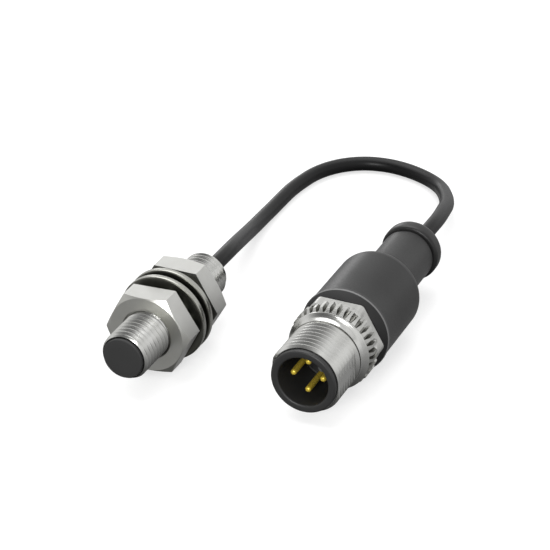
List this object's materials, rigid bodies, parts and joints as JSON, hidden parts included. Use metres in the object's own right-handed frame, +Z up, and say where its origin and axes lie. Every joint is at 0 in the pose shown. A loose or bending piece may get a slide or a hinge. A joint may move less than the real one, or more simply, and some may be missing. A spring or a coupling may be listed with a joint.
{
  "type": "inductive proximity sensor",
  "caption": "Cylindrical threaded inductive proximity sensor with two nuts and lock washers, a short cable and a round screw plug with pin contacts.",
  "frame": {"origin": "on the surface the sensor rests on, under the middle of the barrel", "axes": "+Y along the barrel from the sensing face to the cable end, +Z up, the plug lies parallel on the +X side"},
  "size_m": [0.0433, 0.0932, 0.015],
  "materials": {
    "nickel_brass": "nickel-plated, turned and threaded",
    "nickel_nut": "nickel-plated, satin flats",
    "nickel_screw": "nickel-plated, threaded and knurled",
    "washer_steel": "nickel-plated spring steel",
    "spring_steel": "plain spring steel",
    "cap_plastic": "moulded black thermoplastic polyester",
    "ferrite": "pressed and sintered",
    "former_plastic": "moulded natural nylon",
    "copper_wire": "enamelled copper wire",
    "board_laminate": "glass-epoxy laminate with solder resist",
    "chip_plastic": "moulded epoxy",
    "component_ceramic": "ceramic chip parts",
    "potting_resin": "cast epoxy resin",
    "core_insulation": "extruded insulation, brown, blue and black",
    "bush_plastic": "moulded black nylon",
    "cable_sheath": "extruded matte polyurethane",
    "grip_plastic": "moulded matte polyurethane",
    "carrier_plastic": "moulded black polyurethane",
    "gold_contact": "gold-plated brass"
  },
  "bodies": {
    "sensor": {"sensor_barrel": "nickel_brass", "sensing_cap": "cap_plastic", "ferrite_core": "ferrite", "coil_former": "former_plastic", "sense_coil": "copper_wire", "coil_leads": "copper_wire", "circuit_board": "board_laminate", "oscillator_chip": "chip_plastic", "output_transistor": "chip_plastic", "board_parts": "component_ceramic", "potting": "potting_resin", "sensor_cores": "core_insulation", "cable_bush": "bush_plastic", "cable": "cable_sheath", "plug_grip": "grip_plastic", "inner_mould": "potting_resin", "plug_cores": "core_insulation", "contact_carrier": "carrier_plastic", "contact_pin_1": "gold_contact", "contact_pin_2": "gold_contact", "contact_pin_3": "gold_contact", "contact_pin_4": "gold_contact", "retaining_ring": "spring_steel"},
    "front_washer": {"front_lock_washer": "washer_steel"},
    "front_nut": {"front_nut": "nickel_nut"},
    "rear_washer": {"rear_lock_washer": "washer_steel"},
    "rear_nut": {"rear_nut": "nickel_nut"},
    "coupling": {"coupling_screw": "nickel_screw"}
  },
  "joints": [
    {"name": "front_nut_travel", "type": "slide", "parent": "sensor", "child": "front_washer", "axis": [0, 1, 0], "range_m": [-0.006, 0.0005]},
    {"name": "front_nut_turn", "type": "hinge", "parent": "front_washer", "child": "front_nut", "pos_m": [0, -0.0049, 0.0075], "axis": [0, 1, 0], "range_deg": [-2165, 185]},
    {"name": "rear_nut_travel", "type": "slide", "parent": "sensor", "child": "rear_washer", "axis": [0, 1, 0], "range_m": [-0.0005, 0.006]},
    {"name": "rear_nut_turn", "type": "hinge", "parent": "rear_washer", "child": "rear_nut", "pos_m": [0, 0.0056, 0.0075], "axis": [0, 1, 0], "range_deg": [-185, 2165]},
    {"name": "coupling_spin", "type": "hinge", "parent": "sensor", "child": "coupling", "pos_m": [0.0283, -0.003, 0.0075], "axis": [0, 1, 0], "continuous": true}
  ],
  "couplings": [
    {"joint": "front_nut_turn", "follows": "front_nut_travel", "rad_per_m": 6283.2},
    {"joint": "rear_nut_turn", "follows": "rear_nut_travel", "rad_per_m": 6283.2}
  ]
}
